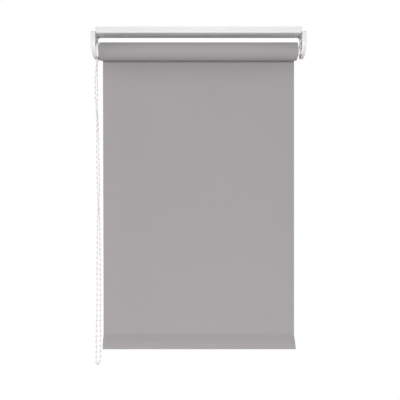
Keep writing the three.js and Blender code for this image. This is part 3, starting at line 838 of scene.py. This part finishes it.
# ---- Chain ----
@dataclass
class BeadChain(SubAssembly):
    """The endless bead chain with its stop ball and its connector."""

    bead: float = 4.5 * MM
    pitch: float = 12 * MM
    cord: float = 1.4 * MM
    cheek: float = 0.45 * MM
    pockets: int = 7
    bead_sides: int = 10
    cord_step: float = 3 * MM

    def build(self) -> None:
        """Makes the hanging chain, what is on it, and its run over the wheel."""
        axis = Room.of("cloth_roll").middle
        wheel_x = Room.of("chain_wheel").low.x + self.cheek + self.bead / 2
        self.origin = Vector((wheel_x, axis.y, axis.z))
        points = [*WHEEL_TO_FRONT, *FRONT_RUN, *BOTTOM_BEND, *BACK_RUN, *BACK_TO_WHEEL]
        self.route = Route([self.origin + Vector(p) * MM for p in points])
        stop = self.stop_ball()
        connector = self.connector()
        chain = self.hanging_chain([stop, connector])
        self.over_the_wheel()
        LOG.info("chain of %.3f m in %s", self.route.length, chain.name)

    def bead_shape(self) -> Shape:
        """One bead on the line X, with a short neck at each end."""
        r = self.bead / 2
        half = [(0, 1.16 * r), (0.48 * r, 1.08 * r), (0.58 * r, 0.82 * r), (0.88 * r, 0.475 * r), (r, 0)]
        return turned(mirrored(half), self.bead_sides, Vector())

    def add_beads(self, shape: Shape, places: Iterable[tuple[Vector, Vector]]) -> None:
        """Adds a bead at each place, which is a point and the way that the chain runs there."""
        bead = self.bead_shape()
        for point, way in places:
            gathered(shape, bead, aimed(point, way))
        bead.free()

    def cord_shape(self, points: Sequence[Vector]) -> Shape:
        """The cord that the beads are moulded on.

        Args:
            points: The points that it follows.

        Returns:
            A closed tube of six sides.
        """
        curve = bpy.data.curves.new("cord", "CURVE")
        curve.dimensions = "3D"
        curve.bevel_depth = self.cord / 2
        curve.bevel_resolution = 1
        curve.use_fill_caps = True
        spline = curve.splines.new("POLY")
        spline.points.add(len(points) - 1)
        for at, point in zip(spline.points, points):
            at.co = (*point, 1)
        holder = bpy.data.objects.new("cord", curve)
        mesh = bpy.data.meshes.new_from_object(holder)
        shape = bmesh.new()
        shape.from_mesh(mesh)
        bpy.data.objects.remove(holder)
        bpy.data.curves.remove(curve)
        bpy.data.meshes.remove(mesh)
        return merged(shape)

    def hanging_chain(self, with_pieces: Sequence[Object]) -> Object:
        """The chain from the wheel's front, round the bottom and up to the wheel's back.

        Args:
            with_pieces: The pieces that sit on it; not used.

        Returns:
            The chain.
        """
        line = self.route.marks(self.cord_step)
        shape = self.cord_shape(line)
        count = round(self.route.length / self.pitch)
        self.add_beads(shape, [self.route.at(self.route.length * i / count) for i in range(1, count)])
        chain = self.add(shape, "bead_chain", BEAD_PLASTIC, Body.FRAME,
                         ["chain_front_top", "chain_loop"], crease=60)
        self.route.length
        [tuple(p) for p in line]
        return chain

    def way_at_height(self, height: float) -> tuple[Vector, Vector]:
        """The point of the front run at a height, and the way that the chain runs there."""
        along = next(s for s, p in zip(self.route.reach, self.route.line) if p.z < height)
        return self.route.at(along)

    def stop_ball(self) -> Object:
        """The ball, in two clipped halves, that stops the chain at the guard's mouth."""
        room = Room.of("stop_ball")
        r = room.size.z / 2
        lip, seam = 0.12 * MM, 0.18 * MM
        angles = even_steps(math.radians(24), math.radians(86), 9)
        arc = [(r * math.sin(a), r * math.cos(a)) for a in angles]
        half = [(0, arc[0][1] - 0.5 * MM), (arc[0][0] - lip, arc[0][1]), *arc, (r - seam, seam / 2)]
        shape = turned(mirrored(half), 32, Vector())
        place, way = self.way_at_height(room.middle.z)
        bmesh.ops.transform(shape, matrix=aimed(room.middle, way), verts=shape.verts)
        LOG.info("stop ball %.1f mm off the chain", (place - room.middle).length / MM)
        return self.add(shape, "chain_stop", BEAD_PLASTIC, Body.FRAME, ["stop_ball"])

    def connector(self) -> Object:
        """The sleeve that snaps over the chain's two end beads."""
        room = Room.of("chain_connector")
        place, way = self.way_at_height(room.middle.z)
        length = room.size.z
        r = min(room.size.x, room.size.y) / 2
        bulge, waist, rim = r, 0.72 * r, 0.8 * r
        half = [(0, length / 2), (0.62 * r, length / 2), (rim, 0.47 * length), (bulge, 0.4 * length),
                (bulge, 0.16 * length), (waist, 0.09 * length)]
        shape = rounded(turned(mirrored(half), 24, Vector()), 0.25 * MM, crisp(25), 2)
        bmesh.ops.transform(shape, matrix=aimed(place, way), verts=shape.verts)
        return self.add(shape, "chain_joint", BEAD_PLASTIC, Body.FRAME, ["chain_connector"])

    def over_the_wheel(self) -> None:
        """The beads in the wheel's upper pockets and the cord between them."""
        radius = self.pitch / 2 / math.sin(math.pi / self.pockets)
        step = FULL_TURN / self.pockets
        angles = [QUARTER_TURN + step * i for i in range(-2, 3)]

        def at(angle: float) -> Vector:
            """The point of the wheel's pocket circle at an angle."""
            return self.origin + Vector((0, radius * math.cos(angle), radius * math.sin(angle)))

        shape = self.cord_shape([at(angle) for angle in even_steps(angles[0], angles[-1], 41)])
        self.add_beads(shape, [(at(a), Vector((0, -math.sin(a), math.cos(a)))) for a in angles])
        self.add(shape, "wheel_beads", BEAD_PLASTIC, Body.WHEEL, crease=60)


# ---- Rail, brackets and covers ----
@dataclass(frozen=True)
class DrumRoom:
    """The round room of the chain guard, about the roller's axis."""

    axis: Vector
    radius: float
    back: float
    front: float

    @classmethod
    def of_guard(cls) -> "DrumRoom":
        """The guard's drum, without the pegs on its back."""
        guard = Room.of("chain_guard")
        axis = Room.of("cloth_roll").middle
        behind_wheel = 1.4 * MM  # the guard's back and the gap in front of it
        back = Room.of("chain_wheel").low.x - behind_wheel
        return cls(Vector((0, axis.y, axis.z)), guard.size.y / 2, back, guard.high.x)


@dataclass
class Headrail(SubAssembly):
    """The ceiling rail with the screws that clamp the brackets in it."""

    edge: float = 0.35 * MM

    def build(self) -> None:
        """Makes the rail and its clamp screws."""
        self.soften("mounting_rail", PAINT, Body.FRAME, self.edge, 3)
        for side in ("left", "right"):
            self.soften(f"{side}_clamp_screw", STEEL, Body.FRAME, 0.12 * MM)


@dataclass
class EndBracket(SubAssembly):
    """A bracket plate with the cover that clips over it."""

    side: int = 1
    wall: float = 1.8 * MM
    corner: float = 4 * MM
    rim: float = 1.7 * MM
    lip: float = 0.3 * MM
    gap: float = 0.3 * MM  # between the cover and the guard's room
    round_steps: int = 48
    peg: float = 1.7 * MM
    peg_inset: float = 3.3 * MM  # how far behind the rim the pegs end
    pegs: tuple[Pair, ...] = ((-22 * MM, 13 * MM), (9 * MM, 25.1 * MM))

    def build(self) -> None:
        """Makes the bracket plate and its cover."""
        name = "left" if self.side < 0 else "right"
        self.soften(f"{name}_bracket", PAINT, Body.FRAME, 0.25 * MM)
        self.add(self.cover_shape(f"{name}_side_cover"), f"{name}_cover_shell", COVER_PLASTIC, Body.FRAME,
                 [f"{name}_side_cover"])

    def cover_shape(self, node: str) -> Shape:
        """A shallow cap with a round bottom, a rounded outer rim and a straight, open back.

        Args:
            node: The node that it stands for.

        Returns:
            The cap, with the pegs that hold it to the plate.
        """
        room = Room.of(node)
        outer, inner = (room.low.x, room.high.x) if self.side < 0 else (room.high.x, room.low.x)

        def all_at(part: Edge | bmesh.types.BMFace, axis: int, place: float) -> bool:
            """Whether an edge or a face lies flat at a place along an axis."""
            return all(abs(v.co[axis] - place) < TOUCH for v in part.verts)

        shape = drawn_out(self.outline(room, inner), (outer - inner, 0, 0))
        rounded(shape, self.rim, lambda e: all_at(e, 0, outer) and not all_at(e, 1, room.high.y), 5)
        open_faces = [f for f in shape.faces if all_at(f, 1, room.high.y) or all_at(f, 0, inner)]
        bmesh.ops.delete(shape, geom=open_faces, context="FACES_ONLY")
        bmesh.ops.solidify(shape, geom=shape.faces[:], thickness=self.wall)
        bmesh.ops.recalc_face_normals(shape, faces=shape.faces)
        rounded(shape, self.lip, lambda e: all_at(e, 0, inner) and crisp(60)(e), 2)
        shape = self.notched(shape)
        axis = Room.of("cloth_roll").middle
        ends = sorted((inner + self.side * self.peg_inset, outer - self.side * self.wall / 2))
        for y, up in self.pegs:
            peg = rod(self.peg, ends, 24, Vector((0, y, axis.z + up)))
            gathered(shape, peg)
            peg.free()
        return shape

    def outline(self, room: Room, x: float) -> Shape:
        """The cover's flat outline: an arc from the front round the bottom to the straight back.

        Args:
            room: The cover's room.
            x: Where along X it lies.

        Returns:
            One flat face.
        """
        reach, back = -room.low.y, room.high.y
        arc_z = room.low.z + reach
        shape = bmesh.new()
        first = shape.verts.new((x, -reach, arc_z))
        bmesh.ops.spin(shape, geom=[first], cent=(x, 0, arc_z), axis=(1, 0, 0), dvec=(0, 0, 0),
                       angle=QUARTER_TURN + math.asin(back / reach), steps=self.round_steps)
        last = max(shape.verts, key=lambda v: v.co.y)
        tops = [shape.verts.new((x, y, room.high.z)) for y in (back, -reach)]
        for pair in zip([last, *tops], [*tops, first]):
            shape.edges.new(pair)
        bmesh.ops.contextual_create(shape, geom=shape.edges[:])
        round_corner(shape, tops[1], self.corner, 10)
        return shape

    def notched(self, shape: Shape) -> Shape:
        """Takes the cover's rim back round the room of the chain guard.

        Args:
            shape: The cover, which is used up.

        Returns:
            The cover with the notch.
        """
        drum = DrumRoom.of_guard()
        ends = sorted((self.side * (self.gap - drum.back), self.side * (-drum.front - MM)))
        return carved(shape, rod(drum.radius + self.gap, ends, 96, drum.axis))


# ---- Chain drive ----
@dataclass
class ChainDrive(SubAssembly):
    """The guard, the wheel, the post that it turns on and the springs that hold the blind."""

    wire: float = 1.1 * MM
    turns: int = 4
    spring_pitch: float = 1.5 * MM
    wall: float = 1.4 * MM
    back: float = 1.0 * MM
    axle: float = 4.8 * MM
    edge: float = 0.7 * MM
    lip: float = 0.35 * MM
    mouth: Place = (-13.15 * MM, 0.95 * MM, 5.3 * MM)  # front, back and depth

    def build(self) -> None:
        """Makes the drive."""
        self.add(self.guard_shape(), "chain_guard_shown", COVER_PLASTIC, Body.FRAME, ["chain_guard"])
        self.soften("chain_wheel", WHEEL_PLASTIC, Body.WHEEL, 0.15 * MM)
        self.soften("clutch_core", CORE_PLASTIC, Body.FRAME, 0.2 * MM)
        self.soften("core_screw", STEEL, Body.FRAME, 0.15 * MM)
        for number in (1, 2):
            node = f"wrap_spring_{number}"
            coil = coil_spring(node, self.wire, self.turns, self.spring_pitch)
            self.add(coil, f"{node}_wire", STEEL, Body.ROLLER, [node], crease=60)

    def guard_shape(self) -> Shape:
        """A drum with a rounded back edge, open to the roller, with a mouth for the two runs."""
        drum = DrumRoom.of_guard()
        outer, inner = drum.radius, drum.radius - self.wall
        floor = drum.back + self.back
        profile = [(self.axle, drum.back)]
        for angle in even_steps(0, QUARTER_TURN, 5):
            profile.append((outer - self.edge * (1 - math.sin(angle)),
                            drum.back + self.edge * (1 - math.cos(angle))))
        for angle in even_steps(0, QUARTER_TURN, 4):
            profile.append((outer - self.lip * (1 - math.cos(angle)),
                            drum.front - self.lip * (1 - math.sin(angle))))
        profile += [(inner + self.lip / 2, drum.front), (inner, drum.front - self.lip / 2),
                    (inner, floor + self.lip), (inner - self.lip, floor), (self.axle, floor),
                    (self.axle, drum.back)]
        front, back, depth = self.mouth
        low = drum.axis.z - outer
        cutter = bmesh.new()
        bmesh.ops.create_cube(cutter, size=1)
        size = Vector((drum.front - floor + MM, back - front, depth + MM))
        bmesh.ops.scale(cutter, verts=cutter.verts, vec=size)
        moved(cutter, (floor + size.x / 2, (front + back) / 2, low + depth - size.z / 2))
        return carved(turned(profile, 112, drum.axis), cutter)


def coil_spring(node: str, wire: float, turns: float, pitch: float) -> Shape:
    """A wire coiled about the roller's axis, in the room of a node.

    Args:
        node: The node that it stands for.
        wire: The wire's diameter.
        turns: How many turns it has.
        pitch: How far apart they are.

    Returns:
        The coil.
    """
    room = Room.of(node)
    axis = Room.of("cloth_roll").middle
    radius = room.high.y - wire / 2
    steps = int(36 * turns)
    shape = bmesh.new()
    bmesh.ops.create_circle(shape, cap_ends=True, segments=12, radius=wire / 2)
    moved(shape, (0, radius, 0))
    lean = pitch * turns / steps
    bmesh.ops.spin(shape, geom=shape.faces[:], cent=(0, 0, 0), axis=(1, 0, 0), dvec=(lean, 0, 0),
                   angle=FULL_TURN * turns, steps=steps)
    return merged(moved(shape, (room.low.x + wire / 2, axis.y, axis.z)))


# ---- Roller ----
@dataclass
class Roller(SubAssembly):
    """The tube, its end plugs, the sprung pin and the cloth wound on it."""

    layer: float = 0.45 * MM
    over_tube: float = 0.3 * MM  # between the tube and the innermost layer
    wander: float = 2.2 * MM  # how far the longest layer strays past the cloth's cut edge
    uneven: float = 0.9 * MM  # how much shorter the shortest layer is
    dip: float = 0.3 * MM  # how deep the step between two layers is
    spiral: float = 0.55 * MM
    round_steps: int = 112
    seed: int = 7

    def build(self) -> None:
        """Makes the roller."""
        self.soften("roller_tube", ALUMINIUM, Body.ROLLER, 0.12 * MM)
        self.soften("keeper_strip", COVER_PLASTIC, Body.ROLLER, 0.1 * MM)
        self.soften("drive_plug", WHEEL_PLASTIC, Body.ROLLER, 0.2 * MM)
        self.soften("idler_plug", WHEEL_PLASTIC, Body.ROLLER, 0.2 * MM)
        self.soften("idler_pin", STEEL, Body.PIN, 0.2 * MM)
        spring = Room.of("idler_spring")
        wire, turns = 0.9 * MM, 5
        coil = coil_spring("idler_spring", wire, turns, (spring.size.x - wire) / turns)
        piece = self.add(coil, "idler_spring_wire", STEEL, Body.ROLLER, ["idler_spring"], crease=60)
        keep = 1 - travel("pin_push") / spring.size.x
        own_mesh(piece)
        self.wound_cloth()

    def wound_cloth(self) -> None:
        """The cloth on the tube: a spiral whose last turn runs off at the back as the sheet."""
        room = Room.of("cloth_roll")
        axis = room.middle
        half = room.size.x / 2 + self.wander
        bore = Room.of("roller_tube").size.y / 2 + self.over_tube
        rim = room.size.y / 2
        draw = random.Random(self.seed)
        profile = [(bore, 0.0)]
        profile += self.layer_ends(bore, rim, half, draw)
        profile += [(r, -x) for r, x in reversed(self.layer_ends(bore, rim, half, draw))]
        profile.append((bore, 0.0))
        shape = turned(profile, self.round_steps, axis)
        for v in shape.verts:
            y, z = v.co.y - axis.y, v.co.z - axis.z
            radius = math.hypot(y, z)
            angle = math.atan2(z, y) % FULL_TURN
            share = (radius - bore) / (rim - bore)
            grown = 1 + self.spiral * (1 - angle / FULL_TURN) * share / radius
            v.co.y, v.co.z = axis.y + y * grown, axis.z + z * grown
        finish = WovenCloth("grey_cloth_wound", Slot.CLOTH, CLOTH_COLOUR, 0.9, SHEEN, lay=Lay.WOUND,
                            axis_height=axis.z, radius=rim)
        self.add(shape, "wound_cloth", finish, Body.ROLLER, ["cloth_roll"])

    def layer_ends(self, bore: float, rim: float, half: float,
                   draw: random.Random) -> list[Pair]:
        """The stepped end of the wound layers.

        Args:
            bore: The radius of the innermost layer.
            rim: The radius of the outermost one.
            half: How far the longest layer reaches along X.
            draw: The source of the layers' small differences.

        Returns:
            Points of (radius, x), outwards.
        """
        count = int((rim - bore) / self.layer)
        step = (rim - bore) / count
        points = []
        for i in range(count):
            reach = half - draw.uniform(0, self.uneven)
            foot = bore + i * step
            points += [(foot, reach - self.dip), (foot + 0.2 * step, reach), (foot + 0.8 * step, reach)]
        points.append((rim, half - self.dip))
        return points


@dataclass
class IdlerSeat(SubAssembly):
    """The seat that the sprung pin turns in, with the washer that holds it."""

    def build(self) -> None:
        """Makes the seat and its washer."""
        self.soften("idler_seat", COVER_PLASTIC, Body.FRAME, 0.4 * MM, 3)
        self.soften("seat_washer", STEEL, Body.FRAME, 0.15 * MM)


# ---- Cloth ----
@dataclass
class HangingCloth(SubAssembly):
    """The sheet between the roller and the hem."""

    thickness: float = 0.45 * MM
    top_left_spread: float = 1.7 * MM
    right_spread: float = 0.4 * MM
    curl: float = 0.9 * MM
    ripple: float = 0.5 * MM
    across: int = 72
    down: int = 96

    def build(self) -> None:
        """Makes the sheet."""
        room = Room.of("cloth_sheet")
        sheet = self.add(self.sheet_shape(room), "hanging_sheet", HANGING_CLOTH, Body.FRAME,
                         ["cloth_sheet"], crease=50)
        drop = room.size.z
        keep = 1 - travel("bar_lift") / drop
        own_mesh(sheet)

    def sheet_shape(self, room: Room) -> Shape:
        """A thin sheet with slightly curled sides and faint upright ripples.

        Args:
            room: The room that it hangs in.

        Returns:
            The sheet.
        """
        shape = bmesh.new()
        bmesh.ops.create_grid(shape, x_segments=self.across, y_segments=self.down, size=0.5)
        for v in shape.verts:
            aside, up = v.co.x + 0.5, v.co.y + 0.5
            left = room.low.x - self.top_left_spread * up
            right = room.high.x + self.right_spread
            edge = abs(2 * aside - 1) ** 34
            sway = math.sin(math.pi * up) * math.sin(FULL_TURN * (1.6 * aside + 0.15))
            v.co.x = left + (right - left) * aside
            v.co.z = room.low.z + room.size.z * up
            v.co.y = room.middle.y + self.ripple * sway + self.curl * edge * math.sin(math.pi * up) ** 0.5
        bmesh.ops.recalc_face_normals(shape, faces=shape.faces)
        moved(shape, (0, -self.thickness / 2, 0))
        bmesh.ops.solidify(shape, geom=shape.faces[:], thickness=self.thickness)
        return merged(shape)


@dataclass
class Hem(SubAssembly):
    """The pocket at the bottom of the cloth with the bar in it."""

    wall: float = 0.45 * MM
    bar_thickness: float = 3.0 * MM
    bar_height: float = 18 * MM
    bar_inset: float = 2 * MM  # from the pocket's end to the bar's
    cap_inset: float = 0.4 * MM
    cap_length: float = 1.4 * MM
    cap_proud: float = 0.25 * MM
    corner: float = 1.2 * MM
    fold_step: float = 0.9 * MM
    flare: float = 2.6 * MM  # how far the pocket's lower right corner stands out
    across: int = 48

    def build(self) -> None:
        """Makes the pocket, the bar and its two caps."""
        room = Room.of("hem_pocket")
        self.add(self.pocket_shape(room), "hem_sleeve", HANGING_CLOTH, Body.HEM, ["hem_pocket"], crease=60)
        half = room.size.x / 2
        bar = self.bar_shape(room, self.bar_inset - half, half - self.bar_inset, 0)
        self.add(bar, "hem_bar", ALUMINIUM, Body.HEM, ["bottom_bar"])
        for side, name in ((-1, "left"), (1, "right")):
            end = side * (half - self.cap_inset)
            cap = self.bar_shape(room, end - side * self.cap_length, end, self.cap_proud)
            self.add(cap, f"{name}_hem_cap", COVER_PLASTIC, Body.HEM, [f"{name}_bar_cap"])

    def centre_line(self, room: Room) -> tuple[Vector, Vector]:
        """Where the bar's section starts, low down, and the way it leans, in (y, z)."""
        low = Vector((room.low.y + 3.05 * MM, room.low.z + 3.1 * MM))
        way = Vector((0.195, 0.981)).normalized()
        return low, way

    def pocket_shape(self, room: Room) -> Shape:
        """The folded cloth: one layer from the seam down the front, round the bar and up the back.

        Args:
            room: The room that it hangs in.

        Returns:
            The pocket, open at both ends.
        """
        seam_y = Room.of("cloth_sheet").middle.y
        seam = (seam_y, room.high.z)
        front = (room.low.y, room.high.z)
        foot = (room.low.y, room.low.z)
        section = [  # a corner, and how far behind and above it the point is, in millimetres
            (seam, 0, 0.1), (seam, -0.8, -3), (seam, -2.6, -7), (seam, -5.4, -12.4), (seam, -7.9, -18.2),
            (front, 1.2, -24), (front, 0.5, -29),
            (foot, 0.6, 2.6), (foot, 1.5, 0.8), (foot, 3.1, 0.3), (foot, 4.8, 0.9), (foot, 5.7, 2.6),
            (front, 6.2, -29), (seam, -3.3, -21), (seam, -1.6, -13), (seam, -0.2, -6), (seam, 0.15, 0.1),
        ]
        points = [Vector((0, y + behind * MM, z + above * MM)) for (y, z), behind, above in section]
        line = Route(points).marks(self.fold_step)
        shape = bmesh.new()
        ends = [shape.verts.new((room.low.x, p.y, p.z)) for p in line]
        edges = [shape.edges.new(pair) for pair in zip(ends, ends[1:])]
        step = room.size.x / self.across
        for _ in range(self.across):
            grown = bmesh.ops.extrude_edge_only(shape, edges=edges)["geom"]
            edges = [g for g in grown if isinstance(g, Edge)]
            moved(shape, (step, 0, 0), [g for g in grown if isinstance(g, bmesh.types.BMVert)])
        bmesh.ops.recalc_face_normals(shape, faces=shape.faces)
        bmesh.ops.solidify(shape, geom=shape.faces[:], thickness=self.wall / 2)
        bmesh.ops.recalc_face_normals(shape, faces=shape.faces)
        for v in shape.verts:
            down = (room.high.z - v.co.z) / room.size.z
            right = max(0.0, 2 * (v.co.x - room.middle.x) / room.size.x) ** 60
            v.co.x += self.flare * right * max(down, 0.0)
        return shape

    def bar_shape(self, room: Room, from_x: float, to_x: float, proud: float) -> Shape:
        """A flat bar with round edges, or a slice of one.

        Args:
            room: The pocket's room.
            from_x: Where it starts.
            to_x: Where it ends.
            proud: How far its outline stands out past the bar's.

        Returns:
            The bar.
        """
        low, way = self.centre_line(room)
        high = low + way * self.bar_height
        side = Vector((-way.y, way.x)) * (self.bar_thickness / 2 + proud)
        foot = low - way * MM
        outline = [tuple(p) for p in (foot - side, foot + side, high + side, high - side)]
        shape = slab(outline, self.corner, from_x, to_x, 6)
        return rounded(shape, 0.2 * MM, crisp(60), 2)


def main() -> None:
    """Builds the studio and the blind, and reports each piece."""
    logging.basicConfig(level=logging.INFO, format="%(message)s")
    Studio().build()
    parts: list[SubAssembly] = [
        BeadChain(), Headrail(), EndBracket(side=-1), EndBracket(side=1), ChainDrive(), Roller(),
        IdlerSeat(), HangingCloth(), Hem(),
    ]
    for part in parts:
        part.build()
        for piece in part.made:
            LOG.info("%s: %s, %d faces", type(part).__name__, piece.name, len(piece.data.polygons))


if __name__ == "__main__":
    main()
